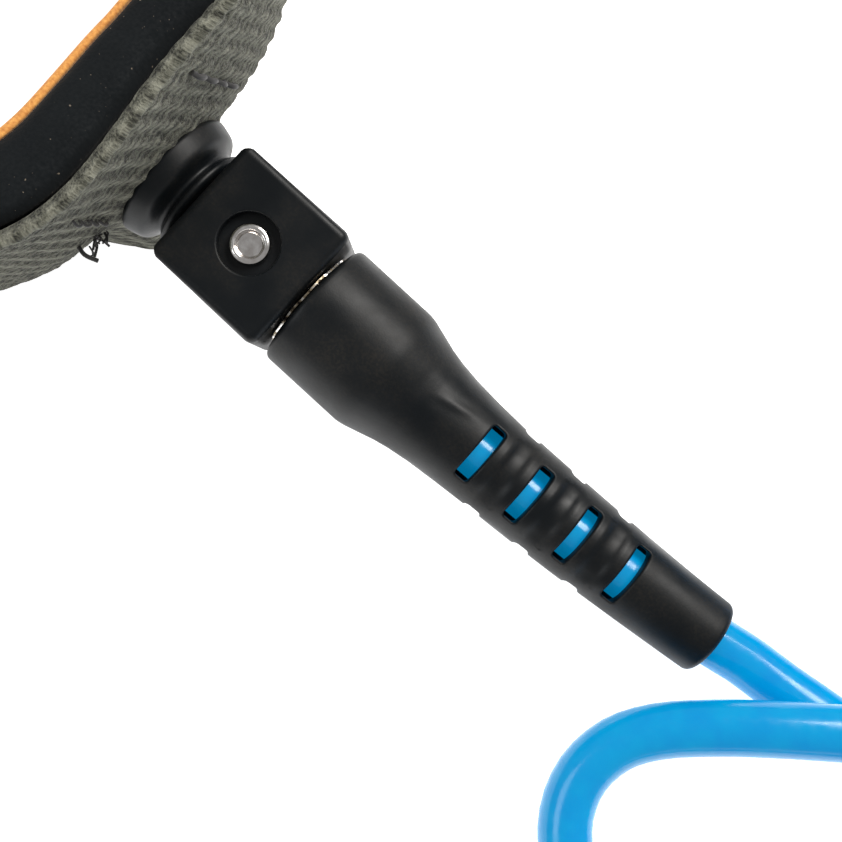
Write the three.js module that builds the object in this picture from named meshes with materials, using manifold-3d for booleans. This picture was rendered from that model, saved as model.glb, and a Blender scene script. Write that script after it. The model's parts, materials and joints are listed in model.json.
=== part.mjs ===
// Bodyboard wrist leash: a padded cuff, a swivel with a slotted strain relief boot, a urethane cord laid in
// one loop and a storage coil, and a second swivel with a hook-and-loop tail for the board's string.
// Millimetres, +Z up, +X along the leash away from the cuff, the whole leash lying on the plane z = 0.
import * as THREE from 'three';
import { mergeVertices } from 'three/addons/utils/BufferGeometryUtils.js';
import Module from 'manifold-3d';

const wasm = await Module();
wasm.setup();

// ---- driving dimensions ----
const GAP = 0.3; // between pieces that touch
const ORIGIN = { x: 5.75, y: -2.6 }; // ground point under the cuff pin, from the middle of the footprint

const CORD_RADIUS = 3.5;
const CORD_SIDES = 12;

const CUFF_SLOPE = THREE.MathUtils.degToRad(12.05); // how far the leash dips from the cuff to the ground
const CUFF_ROLL = THREE.MathUtils.degToRad(13.5); // twist of the swivel about the leash
const CUFF_PIN_HEIGHT = 21.8;
const CUFF_BEND = 0.1; // radians that the cuff's boot bends sideways towards its small end

const TAIL_PIN = { x: -5, y: 110, z: 10.9 };
const TAIL_SLOPE = THREE.MathUtils.degToRad(4.03);

// swivel, measured along the leash from the cross pin's axis
const BLOCK = { front: -8.75, back: 8.75, half: 9.2, edge: 1.2, corner: 2.2 };
const SLOT = { halfWide: 5.2, halfHigh: 3.3 };
const PIN = { radius: 1.6, headRadius: 2.65, headTall: 1.2, cupRadius: 1.65, cupDeep: 1.0, sunk: 0.4 };
const RECESS_RADIUS = 3.95;
const BORE_PLAY = 0.3;
const STUD = { headFront: 4.5, headBack: 6.2, headRadius: 4.0, radius: 2.5, tailFront: 15.0, tailBack: 17.0,
  tailRadius: 4.7 };
const CHAMBER_BACK = 6.6;
const WASHER = { front: 8.97, back: 9.37, radius: 7.2 };

// boot, measured along the leash from the cross pin's axis
const BOOT_FRONT = 9.6;
const BOOT_LENGTH = 67.7;
const BOOT_BARREL = 12.4;
const BOOT_RADIUS = 9.2;
const BOOT_WALL = 5.0; // end wall that the stud passes through
const CAVITY_RADIUS = 5.4;
const CAVITY_END = 31.8;
const CORD_BORE = 3.8;
const WINDOW = { first: 29.1, pitch: 8.0, count: 4, long: 2.1, wide: 8.0, floor: 0.8 };
const GROOVE = { deep: 0.45, half: 1.1, slope: 0.45 };
const CORD_END = { front: 17.4, back: 31.3, tip: 33.6, radius: 5.1 };
const BEND_START = BOOT_FRONT + 13.6;

// horn, measured along the leash from the cross pin's axis
const HORN = { plateFront: -19.6, plateBack: -18.0, stemRadius: 7.0, footFront: -15.2,
  flangeRadius: 8.7, flangeBack: -11.9, neckRadius: 6.1, neck: -11.0, ringFront: -10.5, ringRadius: 6.8,
  ringBack: -9.35, tongueHalfWide: 4.2, tongueHalfHigh: 3.0 };
const CUFF_PLATE = { halfWide: 7.3, halfTall: 7.3 };
const TAIL_PLATE = { halfWide: 10.5, halfTall: 6.6 };
const PANEL = -15.5; // outer face of the webbing that the horn stands on

// cuff band, seen from above: a superellipse, leaning out with the leash at its front
const CUFF = { deep: 68, halfWide: 42, power: 2.55, tall: 50, slit: -8, slitGap: 1.5 };
const FOLD = { deep: 5, from: 5, to: 38 }; // how far the front's lower edge folds in, by distance from the horn
const RIM = { high: 6.2, low: -0.5, from: -30, to: 8 }; // how far the front's upper edge swings out, along Y
const WEBBING = 2.2;
const FOAM = 6.8;
const LINING = 0.6;
const PATCH = 1.0;
const STRAP = 2.0;
const BAND_STEP = 4.5;
const LAYER_STEPS = 2;
const PLY_GAP = 0.8; // between webbing, foam and lining

// storage coil and tie
const COIL = { x: 110.8, y: 67.4, radius: 38.5, halfWide: 7.1, low: 1.2, high: 15.4 };
const TIE = { angle: THREE.MathUtils.degToRad(200), wide: 14, thick: 0.9 };

const COLOURS = {
  rubber: { color: 0x17191a, roughness: 0.5, metalness: 0 },
  foam: { color: 0x0d0f11, roughness: 0.95, metalness: 0 },
  lining: { color: 0xd6893a, roughness: 0.9, metalness: 0 },
  webbing: { color: 0x878778, roughness: 0.95, metalness: 0 },
  patch: { color: 0x111315, roughness: 1, metalness: 0 },
  steel: { color: 0xc9c6c0, roughness: 0.2, metalness: 1 },
  cord: { color: 0x009fe3, roughness: 0.2, metalness: 0 },
  cordEnd: { color: 0x0b4f86, roughness: 0.4, metalness: 0 },
};

// ---- solids ----
function toSolid(geometry) {
  const bare = geometry.clone();
  bare.deleteAttribute('normal');
  bare.deleteAttribute('uv');
  const merged = mergeVertices(bare, 1e-4);
  const corners = merged.index.array;
  const kept = [];
  for (let i = 0; i < corners.length; i += 3) {
    const [a, b, c] = corners.slice(i, i + 3);
    if (a !== b && b !== c && c !== a) {
      kept.push(a, b, c);
    }
  }
  return new wasm.Manifold(new wasm.Mesh({
    numProp: 3,
    vertProperties: new Float32Array(merged.attributes.position.array),
    triVerts: new Uint32Array(kept),
  }));
}

function toGeometry(solid) {
  const mesh = solid.getMesh();
  const geometry = new THREE.BufferGeometry();
  geometry.setAttribute('position', new THREE.BufferAttribute(new Float32Array(mesh.vertProperties), 3));
  geometry.setIndex(Array.from(mesh.triVerts));
  geometry.computeVertexNormals();
  return geometry;
}

function cut(geometry, ...cutters) {
  return toGeometry(cutters.reduce((left, cutter) => left.subtract(toSolid(cutter)), toSolid(geometry)));
}

function join(geometry, ...others) {
  return toGeometry(others.reduce((left, other) => left.add(toSolid(other)), toSolid(geometry)));
}

// A solid of revolution about X from [x, radius] pairs, given from high x to low x along the outside.
function turned(profile, segments) {
  const points = profile.map(([x, radius]) => new THREE.Vector2(radius, x));
  return new THREE.LatheGeometry(points, segments).rotateZ(-Math.PI / 2);
}

function rod(front, back, radius, segments = 24) {
  return turned([[front, 0], [front, radius], [back, radius], [back, 0]], segments);
}

function box(low, high) {
  const size = high.map((value, i) => value - low[i]);
  const centre = high.map((value, i) => (value + low[i]) / 2);
  return new THREE.BoxGeometry(...size).translate(...centre);
}

function deform(geometry, move) {
  const place = geometry.attributes.position;
  const point = new THREE.Vector3();
  for (let i = 0; i < place.count; i += 1) {
    point.fromBufferAttribute(place, i);
    move(point);
    place.setXYZ(i, point.x, point.y, point.z);
  }
  geometry.computeVertexNormals();
  return geometry;
}

function named(name, geometry, finish) {
  const mesh = new THREE.Mesh(geometry, new THREE.MeshStandardMaterial(COLOURS[finish]));
  mesh.name = name;
  return mesh;
}

// ---- swivel ----
// Bends a boot, and what is inside it, sideways on an arc that starts behind the barrel.
function bend(point, angle) {
  const along = point.x - BEND_START;
  if (along <= 0 || angle === 0) {
    return;
  }
  const radius = (BOOT_FRONT + BOOT_LENGTH - BEND_START) / angle;
  const turn = along / radius;
  const side = radius - point.y;
  point.x = BEND_START + side * Math.sin(turn);
  point.y = radius - side * Math.cos(turn);
}

function bootProfile() {
  const taper = new THREE.SplineCurve([
    [12.4, 9.2], [13.6, 9.05], [15.2, 8.55], [18.2, 7.7], [22.2, 7.0], [27.0, 6.58], [35.0, 6.25],
    [46.0, 5.95],
    [56.0, 5.58], [66.9, 5.27],
  ].map(([x, radius]) => new THREE.Vector2(x, radius)));
  const radiusAt = (x) => {
    let [low, high] = [0, 1];
    for (let i = 0; i < 24; i += 1) {
      const middle = (low + high) / 2;
      if (taper.getPoint(middle).x < x) {
        low = middle;
      } else {
        high = middle;
      }
    }
    return taper.getPoint(low).y;
  };
  const outside = [
    [0, BOOT_RADIUS - 0.8], [0.25, BOOT_RADIUS - 0.25], [0.8, BOOT_RADIUS], [BOOT_BARREL, BOOT_RADIUS],
  ];
  for (const x of [13.3, 14.4, 16, 18, 20.5, 23.5, 27]) {
    outside.push([x, radiusAt(x)]);
  }
  for (let i = 0; i < WINDOW.count - 1; i += 1) {
    const middle = WINDOW.first + WINDOW.pitch * (i + 0.5);
    const radius = radiusAt(middle);
    const edge = GROOVE.half + GROOVE.slope;
    outside.push([middle - edge, radiusAt(middle - edge)], [middle - GROOVE.half, radius - GROOVE.deep]);
    outside.push([middle + GROOVE.half, radius - GROOVE.deep], [middle + edge, radiusAt(middle + edge)]);
  }
  outside.push([60, radiusAt(60)], [66.9, radiusAt(66.9)], [67.5, 5.0], [BOOT_LENGTH, 4.5]);
  return outside.map(([x, radius]) => [x + BOOT_FRONT, radius]);
}

function bootGeometry(angle) {
  const back = BOOT_FRONT + BOOT_LENGTH;
  const cavityFront = BOOT_FRONT + BOOT_WALL;
  const hole = STUD.radius + BORE_PLAY;
  const outside = bootProfile();
  const inside = [
    [back, CORD_BORE], [CAVITY_END + 2.4, CORD_BORE], [CAVITY_END, CAVITY_RADIUS],
    [cavityFront, CAVITY_RADIUS],
    [cavityFront, hole], [BOOT_FRONT, hole],
  ];
  const windows = [];
  const half = WINDOW.long / 2;
  for (let i = 0; i < WINDOW.count * 2 - 1; i += 1) {
    const middle = BOOT_FRONT + WINDOW.first + (WINDOW.pitch * i) / 2;
    const onFace = i % 2 === 0;
    for (const side of [-1, 1]) {
      const reach = [side * WINDOW.floor, side * 12].sort((a, b) => a - b);
      const across = [-WINDOW.wide / 2, WINDOW.wide / 2];
      const [y, z] = onFace ? [across, reach] : [reach, across];
      windows.push(box([middle - half, y[0], z[0]], [middle + half, y[1], z[1]]));
    }
  }
  const boot = cut(turned([...outside, ...inside, outside[0]], 24), ...windows);
  return deform(boot, (point) => bend(point, angle));
}

function cordEndGeometry(angle) {
  const { front, back, tip, radius } = CORD_END;
  const middle = (front + back) / 2;
  const profile = [
    [front, 0], [front, radius], [middle, radius], [back, radius], [tip, CORD_RADIUS], [tip, 0],
  ];
  return deform(turned(profile, 24), (point) => bend(point, angle));
}

function studGeometry() {
  const { headFront, headBack, headRadius, radius, tailFront, tailBack, tailRadius } = STUD;
  return turned([
    [headFront, 0], [headFront, headRadius], [headBack, headRadius], [headBack, radius], [tailFront, radius],
    [tailFront, tailRadius], [tailBack, tailRadius], [tailBack, 0],
  ], 28);
}

function washerGeometry() {
  const hole = STUD.radius + BORE_PLAY;
  const { front, back, radius } = WASHER;
  return turned([[front, hole], [front, radius], [back, radius], [back, hole], [front, hole]], 28);
}

function roundedRectangle(low, high, frontCorner, backCorner) {
  const shape = new THREE.Shape();
  const quarter = Math.PI / 2;
  shape.absarc(low[0] + frontCorner, low[1] + frontCorner, frontCorner, -2 * quarter, -quarter);
  shape.absarc(high[0] - backCorner, low[1] + backCorner, backCorner, -quarter, 0);
  shape.absarc(high[0] - backCorner, high[1] - backCorner, backCorner, 0, quarter);
  shape.absarc(low[0] + frontCorner, high[1] - frontCorner, frontCorner, quarter, 2 * quarter);
  shape.closePath();
  return shape;
}

function blockGeometry() {
  const { front, back, half, edge, corner } = BLOCK;
  const low = [front + edge, -half + edge];
  const high = [back - edge, half - edge];
  const outline = roundedRectangle(low, high, corner - edge, 0.2);
  const body = new THREE.ExtrudeGeometry(outline, {
    depth: 2 * (half - edge), bevelEnabled: true, bevelSize: edge, bevelThickness: edge, bevelSegments: 2,
    curveSegments: 3,
  }).translate(0, 0, -half + edge);
  const pinHole = PIN.radius + BORE_PLAY;
  const recess = PIN.headTall + PIN.sunk;
  const upright = (under, over, radius) => rod(under, over, radius, 28).rotateY(-Math.PI / 2);
  return cut(
    body,
    box([front - 1, -SLOT.halfWide, -SLOT.halfHigh], [CHAMBER_BACK - 2.4, SLOT.halfWide, SLOT.halfHigh]),
    rod(CHAMBER_BACK - 2.5, CHAMBER_BACK, STUD.headRadius + BORE_PLAY),
    rod(CHAMBER_BACK - 1, back + 1, STUD.radius + BORE_PLAY),
    upright(-half, half, pinHole),
    upright(half - recess, half + 1, RECESS_RADIUS),
    upright(-half - 1, -half + recess, RECESS_RADIUS),
  );
}

function pinGeometry() {
  const top = BLOCK.half - PIN.sunk;
  const under = top - PIN.headTall + GAP;
  const floor = top - PIN.cupDeep;
  const half = [[floor, 0], [floor, PIN.cupRadius], [top, PIN.cupRadius], [top - 0.01, PIN.headRadius - 0.25],
    [top - 0.3, PIN.headRadius], [under, PIN.headRadius], [under, PIN.radius]];
  const mirrored = half.map(([z, radius]) => [-z, radius]);
  return turned([...mirrored, ...half.reverse()], 24).rotateY(-Math.PI / 2);
}

// The horn is one moulding: base plate under the webbing, stem, flange, neck, ring and tongue.
function hornGeometry(plateSize, roll) {
  const { plateFront, plateBack, stemRadius, footFront, flangeRadius, flangeBack, neckRadius, neck,
    ringFront, ringRadius, ringBack, tongueHalfWide, tongueHalfHigh } = HORN;
  const { halfWide, halfTall } = plateSize;
  const plate = box([plateFront, -halfWide, -halfTall], [plateBack, halfWide, halfTall]).rotateX(-roll);
  const round = 1.5;
  const bulge = [];
  for (let i = 0; i <= 4; i += 1) {
    const angle = (i / 4) * (Math.PI / 2);
    const along = flangeBack - round + round * Math.sin(angle);
    bulge.push([along, flangeRadius - round + round * Math.cos(angle)]);
  }
  const body = turned([
    [plateFront + 0.4, 0], [plateFront + 0.4, stemRadius],
    [footFront, stemRadius], [footFront, flangeRadius - 0.5],
    [footFront + 0.6, flangeRadius], ...bulge, [neck - 0.4, neckRadius + 0.2], [neck, neckRadius],
    [ringFront, ringRadius - 0.2], [ringFront + 0.3, ringRadius], [ringBack, ringRadius], [ringBack, 0],
  ], 28);
  const tongueShape = new THREE.Shape();
  tongueShape.moveTo(ringBack - 0.5, -tongueHalfWide);
  tongueShape.absarc(0, 0, tongueHalfWide, -Math.PI / 2, Math.PI / 2);
  tongueShape.lineTo(ringBack - 0.5, tongueHalfWide);
  tongueShape.closePath();
  const eye = new THREE.Path();
  eye.absarc(0, 0, PIN.radius + BORE_PLAY, 0, 2 * Math.PI);
  tongueShape.holes.push(eye);
  const tongue = new THREE.ExtrudeGeometry(tongueShape, {
    depth: 2 * tongueHalfHigh, bevelEnabled: false, curveSegments: 10,
  }).translate(0, 0, -tongueHalfHigh);
  return join(body, plate, tongue);
}

function swivel(prefix, plateSize, bendAngle, roll) {
  const group = new THREE.Group();
  group.add(
    named(`${prefix}_horn`, hornGeometry(plateSize, roll), 'rubber'),
    named(`${prefix}_block`, blockGeometry(), 'rubber'),
    named(`${prefix}_pin`, pinGeometry(), 'steel'),
    named(`${prefix}_washer`, washerGeometry(), 'steel'),
    named(`${prefix}_stud`, studGeometry(), 'steel'),
    named(`${prefix}_boot`, bootGeometry(bendAngle), 'rubber'),
    named(`${prefix}_cord_end`, cordEndGeometry(bendAngle), 'cordEnd'),
  );
  return group;
}

// ---- cuff ----
const CUFF_FACE = {
  x: PANEL * Math.cos(CUFF_SLOPE),
  z: CUFF_PIN_HEIGHT - PANEL * Math.sin(CUFF_SLOPE),
};

// The line of the webbing's outer face, from one side of the slit round to the other.
function cuffLine() {
  const { deep, halfWide, power, slit, slitGap } = CUFF;
  const stretch = (value) => Math.sign(value) * Math.abs(value) ** (2 / power);
  const angleOf = (y) => Math.asin((Math.abs(y) / halfWide) ** (power / 2));
  const from = Math.PI + angleOf(slit + slitGap / 2);
  const to = -Math.PI + angleOf(slit - slitGap / 2);
  const points = [];
  for (let i = 0; i <= 120; i += 1) {
    const angle = from + ((to - from) * i) / 120;
    const x = CUFF_FACE.x - deep / 2 + (deep / 2) * stretch(Math.cos(angle));
    points.push(new THREE.Vector2(x, halfWide * stretch(Math.sin(angle))));
  }
  return new THREE.SplineCurve(points);
}

function cuffPoint(line, length, along, out) {
  const back = CUFF_FACE.x - CUFF.deep;
  if (along < 0) {
    return new THREE.Vector2(back - out, CUFF.slit + CUFF.slitGap / 2 + along);
  }
  const share = Math.min(along / length, 1);
  const point = line.getPointAt(share);
  const tangent = line.getTangentAt(share);
  return point.add(new THREE.Vector2(-tangent.y, tangent.x).multiplyScalar(out));
}

// How far the band stands out in X at a height, over a point of its outer line: the front leans with the
// leash, folds in towards its lower edge and swings out at its upper edge.
function standOut(foot, z) {
  const { clamp, lerp, smoothstep } = THREE.MathUtils;
  const share = clamp((foot.x - CUFF_FACE.x + CUFF.deep) / CUFF.deep, 0, 1);
  const level = (2 * z) / CUFF.tall - 1;
  const fold = FOLD.deep * smoothstep(Math.abs(foot.y), FOLD.from, FOLD.to) * Math.max(-level, 0);
  const rim = lerp(RIM.high, RIM.low, smoothstep(foot.y, RIM.from, RIM.to)) * Math.max(level, 0);
  return (z - CUFF_FACE.z) * Math.tan(CUFF_SLOPE) * share + (rim - fold) * share * share;
}

// A layer of the band between two offsets from the webbing's outer face, over part of the way round.
function cuffLayer(inner, outer, from, to, low, high) {
  const line = cuffLine();
  const length = line.getLength();
  const start = from;
  const end = to ?? length;
  const steps = Math.max(2, Math.round((end - start) / BAND_STEP));
  const outside = [];
  const inside = [];
  const feet = [];
  for (let i = 0; i <= steps; i += 1) {
    const along = start + ((end - start) * i) / steps;
    outside.push(cuffPoint(line, length, along, outer));
    inside.push(cuffPoint(line, length, along, inner));
    feet.push(cuffPoint(line, length, along, 0));
  }
  const layer = new THREE.ExtrudeGeometry(new THREE.Shape([...outside, ...[...inside].reverse()]), {
    depth: high - low, bevelEnabled: false, steps: LAYER_STEPS,
  }).translate(0, 0, low);
  return deform(layer, (point) => {
    const flat = new THREE.Vector2(point.x, point.y);
    const near = (edge, i) => edge[i].distanceTo(flat) < 1e-3;
    point.x += standOut(feet.find((foot, i) => near(outside, i) || near(inside, i)), point.z);
  });
}

function fromLeash(geometry) {
  return geometry.rotateY(CUFF_SLOPE).translate(0, 0, CUFF_PIN_HEIGHT);
}

function cuff() {
  const group = new THREE.Group();
  const { tall } = CUFF;
  const hem = 0.5;
  const foamOut = -WEBBING - PLY_GAP;
  const foamIn = foamOut - FOAM;
  const liningOut = foamIn - PLY_GAP;
  const { plateFront, stemRadius, flangeRadius } = HORN;
  const pocketHalf = CUFF_PLATE.halfWide + 0.4;
  const pocketLow = [plateFront - 0.4, -pocketHalf, -pocketHalf];
  const pocket = fromLeash(box(pocketLow, [PANEL, pocketHalf, pocketHalf]));
  const hole = fromLeash(rod(-30, 0, stemRadius + GAP, 32));
  const seat = fromLeash(rod(PANEL - 0.1, 0, flangeRadius + GAP, 32));
  const webbing = cuffLayer(-WEBBING, 0, 0, null, hem, tall - hem);
  const loopOut = GAP + PATCH;
  const hookOut = loopOut + GAP + PATCH;
  const strapIn = hookOut + GAP;
  group.add(
    named('cuff_webbing', cut(webbing, hole, seat), 'webbing'),
    named('cuff_foam', cut(cuffLayer(foamIn, foamOut, 0, null, 0, tall), pocket), 'foam'),
    named('cuff_lining', cuffLayer(liningOut - LINING, liningOut, 0, null, hem, tall - hem), 'lining'),
    named('cuff_loop_patch', cuffLayer(GAP, loopOut, 8, 58, 4, 46), 'patch'),
    named('cuff_strap_anchor', cuffLayer(GAP, GAP + STRAP, -24, -3.6, hem, tall - hem), 'webbing'),
    named('cuff_hook_patch', cuffLayer(loopOut + GAP, hookOut, 10, 56, 5, 45), 'patch'),
    named('cuff_strap', cuffLayer(strapIn, strapIn + STRAP, -3, 62, hem, tall - hem), 'webbing'),
    named('cuff_pull_tab', cuffLayer(strapIn - 0.3, strapIn + STRAP + 0.3, 62.3, 74, 12, 38), 'rubber'),
  );
  return group;
}

// ---- tail ----
// A short webbing folded round the horn's plate, its two legs closed on each other by hook and loop.
const TAIL = { face: 15.8, half: 12.5, thick: 1.8, legLength: 56, gather: 22, tab: 9, low: 0.2,
  foldTop: 22.4, closedTop: 7.2, patch: 1.1, patchStart: 24 };

// Position along X, at a given height, of a plane square to the tail's axis.
function tailPlane(behindPin, height) {
  return TAIL_PIN.x - behindPin / Math.cos(TAIL_SLOPE) + (height - TAIL_PIN.z) * Math.tan(TAIL_SLOPE);
}

function acrossTail(points, half) {
  const outline = new THREE.Shape(points.map(([along, up]) => new THREE.Vector2(along, up)));
  return new THREE.ExtrudeGeometry(outline, { depth: 2 * half, bevelEnabled: false })
    .rotateX(Math.PI / 2)
    .translate(0, TAIL_PIN.y + half, 0);
}

// A strip that runs back from one distance behind the fold to another, its top at the given heights.
function tailStrip(from, to, topAt, thick, half) {
  const foldAt = tailPlane(TAIL.face + TAIL.thick, TAIL.foldTop);
  const steps = Math.max(1, Math.round((to - from) / 4));
  const above = [];
  const below = [];
  for (let i = 0; i <= steps; i += 1) {
    const along = from + ((to - from) * i) / steps;
    above.push([foldAt - along, topAt(along)]);
    below.unshift([foldAt - along, topAt(along) - thick]);
  }
  return acrossTail([...above, ...below], half);
}

function tail() {
  const group = new THREE.Group();
  const { face, half, thick, legLength, gather, tab, low, foldTop, closedTop, patch, patchStart } = TAIL;
  const { lerp, smoothstep } = THREE.MathUtils;
  const flapTop = (along) => lerp(foldTop, closedTop, smoothstep(along, 0, gather));
  const panel = acrossTail([
    [tailPlane(face, low), low], [tailPlane(face, foldTop), foldTop],
    [tailPlane(face + thick, foldTop), foldTop], [tailPlane(face + thick, low), low],
  ], half);
  const lower = tailStrip(-1.5, legLength, () => low + thick, thick - 0.02, half);
  const stem = rod(-30, 0, HORN.stemRadius + GAP).rotateY(TAIL_SLOPE);
  stem.translate(TAIL_PIN.x, TAIL_PIN.y, TAIL_PIN.z);
  const patchEnd = legLength - 2;
  const loopTop = low + thick + GAP + patch;
  const hookTop = loopTop + GAP + patch;
  const tabStart = legLength + GAP;
  group.add(
    named('tail_webbing', cut(join(panel, lower), stem), 'webbing'),
    named('tail_flap', tailStrip(GAP + 0.2, legLength, flapTop, thick, half), 'webbing'),
    named('tail_hook_patch', tailStrip(patchStart, patchEnd, () => hookTop, patch, half - 1), 'patch'),
    named('tail_loop_patch', tailStrip(patchStart, patchEnd, () => loopTop, patch, half - 1), 'patch'),
    named('tail_pull_tab', tailStrip(tabStart, legLength + tab, () => closedTop + 0.3, 2.4, 8), 'rubber'),
  );
  return group;
}

function cuffAxis(along) {
  const point = new THREE.Vector3(along, 0, 0);
  bend(point, CUFF_BEND);
  return point.applyEuler(new THREE.Euler(CUFF_ROLL, CUFF_SLOPE, 0, 'ZYX')).setZ(point.z + CUFF_PIN_HEIGHT);
}

function tailAxis(along) {
  const point = new THREE.Vector3(along, 0, 0).applyEuler(new THREE.Euler(0, TAIL_SLOPE, 0));
  return point.add(new THREE.Vector3(TAIL_PIN.x, TAIL_PIN.y, TAIL_PIN.z));
}

// Where the cord lies between the cuff's boot and the coil: down to the ground, once round a loop, over
// itself.
const CORD_ROUTE = [
  [80.3, 3.6, 5.2], [86.5, 4.2, 4.2], [93.0, 4.9, 3.7], [100.8, 5.3, 3.6], [108.2, 4.2, 3.6],
  [117.5, -0.2, 3.6],
  [123.7, -8.3, 3.6], [125.3, -18.5, 3.6], [121.8, -28.5, 3.6], [113.5, -35.7, 3.6], [102.7, -37.8, 3.6],
  [92.2, -36.4, 3.6], [85.5, -34.0, 3.6], [78.9, -30.4, 3.7], [75.4, -26.4, 4.3], [73.8, -21.3, 5.5],
  [74.6, -16.0, 6.9], [77.4, -11.6, 8.3], [82.3, -6.9, 9.6], [87.3, -2.8, 10.6], [92.5, 1.2, 11.1],
  [98.1, 5.4, 11.2], [103.7, 9.6, 10.7], [109.4, 13.7, 9.0], [115.1, 17.8, 7.0], [121.3, 22.1, 5.5],
  [124.7, 24.6, 5.1],
];
// Where it lies between the coil and the tail's boot.
const LEAD_ROUTE = [
  [104.0, 109.5, 11.3], [98.0, 109.6, 9.9], [92.0, 109.8, 8.0], [86.0, 109.9, 6.4], [80.0, 110.0, 5.2],
];

function tube(points, steps) {
  const section = new THREE.Shape();
  for (let i = 0; i < CORD_SIDES; i += 1) {
    const angle = (2 * Math.PI * (i + 0.5)) / CORD_SIDES;
    const corner = [CORD_RADIUS * Math.cos(angle), CORD_RADIUS * Math.sin(angle)];
    if (i === 0) {
      section.moveTo(...corner);
    } else {
      section.lineTo(...corner);
    }
  }
  section.closePath();
  const extrudePath = new THREE.CatmullRomCurve3(points, false, 'centripetal');
  return new THREE.ExtrudeGeometry(section, { steps, bevelEnabled: false, extrudePath });
}

function ring(grow) {
  const { x, y, radius, halfWide, low, high } = COIL;
  const [inner, outer] = [radius - halfWide - grow, radius + halfWide + grow];
  const corner = 2.5;
  const profile = [
    [inner, low - grow + corner], [inner + corner, low - grow], [outer - corner, low - grow],
    [outer, low - grow + corner], [outer, high + grow - corner], [outer - corner, high + grow],
    [inner + corner, high + grow], [inner, high + grow - corner], [inner, low - grow + corner],
  ].map(([across, up]) => new THREE.Vector2(across, up));
  return new THREE.LatheGeometry(profile, 40).rotateX(Math.PI / 2).translate(x, y, 0);
}

function cord() {
  const group = new THREE.Group();
  const inside = [39, 45, 51, 57, 62, 67, 72, 77.3].map(cuffAxis);
  const start = cuffAxis(CORD_END.tip + GAP);
  const tailInside = [77.3, 70, 60, 48].map(tailAxis);
  const tailEnd = tailAxis(CORD_END.tip + GAP);
  const route = CORD_ROUTE.map((point) => new THREE.Vector3(...point));
  const lead = LEAD_ROUTE.map((point) => new THREE.Vector3(...point));
  group.add(
    named('leash_cord', cut(tube([start, ...inside, ...route], 52), ring(GAP)), 'cord'),
    named('cord_coil', ring(0), 'cord'),
    named('cord_lead', cut(tube([...lead, ...tailInside, tailEnd], 16), ring(GAP)), 'cord'),
    named('coil_tie', tieGeometry(), 'patch'),
  );
  return group;
}

// A strap round the coil's bundle of turns.
function tieGeometry() {
  const { x, y, radius, halfWide, low, high } = COIL;
  const { angle, wide, thick } = TIE;
  const loop = new THREE.Shape();
  const reach = halfWide + GAP + (wide * wide) / (8 * (radius - halfWide));
  const corner = 2.2;
  const outline = (half, bottom, top) => [
    [-half + corner, bottom], [half - corner, bottom], [half, bottom + corner], [half, top - corner],
    [half - corner, top], [-half + corner, top], [-half, top - corner], [-half, bottom + corner],
  ].map(([across, up]) => new THREE.Vector2(across, up));
  loop.setFromPoints(outline(reach + thick, low - GAP - thick, high + GAP + thick));
  loop.holes.push(new THREE.Path(outline(reach, low - GAP, high + GAP)));
  return new THREE.ExtrudeGeometry(loop, { depth: wide, bevelEnabled: false })
    .translate(radius, 0, -wide / 2)
    .rotateX(Math.PI / 2)
    .rotateZ(angle)
    .translate(x, y, 0);
}

const part = new THREE.Group();
part.name = 'bodyboard_leash';
const laid = new THREE.Group();
laid.position.set(ORIGIN.x, ORIGIN.y, 0);
part.add(laid);

const cuffSwivel = swivel('cuff', CUFF_PLATE, CUFF_BEND, CUFF_ROLL);
cuffSwivel.position.set(0, 0, CUFF_PIN_HEIGHT);
cuffSwivel.rotation.set(CUFF_ROLL, CUFF_SLOPE, 0, 'ZYX');
laid.add(cuffSwivel, cuff());

const tailSwivel = swivel('tail', TAIL_PLATE, 0, 0);
tailSwivel.position.set(TAIL_PIN.x, TAIL_PIN.y, TAIL_PIN.z);
tailSwivel.rotation.set(0, TAIL_SLOPE, 0);
laid.add(tailSwivel, tail(), cord());

export default part;
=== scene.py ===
import json
import math
import random

import bmesh
import bpy
import numpy as np
from mathutils import Matrix, Vector

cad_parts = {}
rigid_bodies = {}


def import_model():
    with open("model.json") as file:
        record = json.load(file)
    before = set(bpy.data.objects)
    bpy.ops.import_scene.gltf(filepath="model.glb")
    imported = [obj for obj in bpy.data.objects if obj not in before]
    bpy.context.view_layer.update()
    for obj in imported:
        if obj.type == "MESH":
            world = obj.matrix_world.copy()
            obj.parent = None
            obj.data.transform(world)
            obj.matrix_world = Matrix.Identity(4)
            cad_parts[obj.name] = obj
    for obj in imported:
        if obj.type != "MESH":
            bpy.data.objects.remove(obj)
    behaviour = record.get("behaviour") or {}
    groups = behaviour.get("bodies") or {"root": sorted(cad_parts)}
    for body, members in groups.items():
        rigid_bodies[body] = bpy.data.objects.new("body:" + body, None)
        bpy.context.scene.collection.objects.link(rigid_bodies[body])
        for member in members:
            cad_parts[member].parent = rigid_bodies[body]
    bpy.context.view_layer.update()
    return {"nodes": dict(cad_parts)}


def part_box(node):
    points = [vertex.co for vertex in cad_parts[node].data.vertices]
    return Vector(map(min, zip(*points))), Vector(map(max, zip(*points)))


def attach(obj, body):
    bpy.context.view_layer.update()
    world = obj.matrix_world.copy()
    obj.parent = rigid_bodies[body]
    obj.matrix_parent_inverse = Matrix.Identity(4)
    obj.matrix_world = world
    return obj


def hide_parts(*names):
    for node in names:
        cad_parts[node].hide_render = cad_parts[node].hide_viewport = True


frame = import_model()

MM = 0.001


def middle(node):
    low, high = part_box(node)
    return (low + high) / 2


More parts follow.
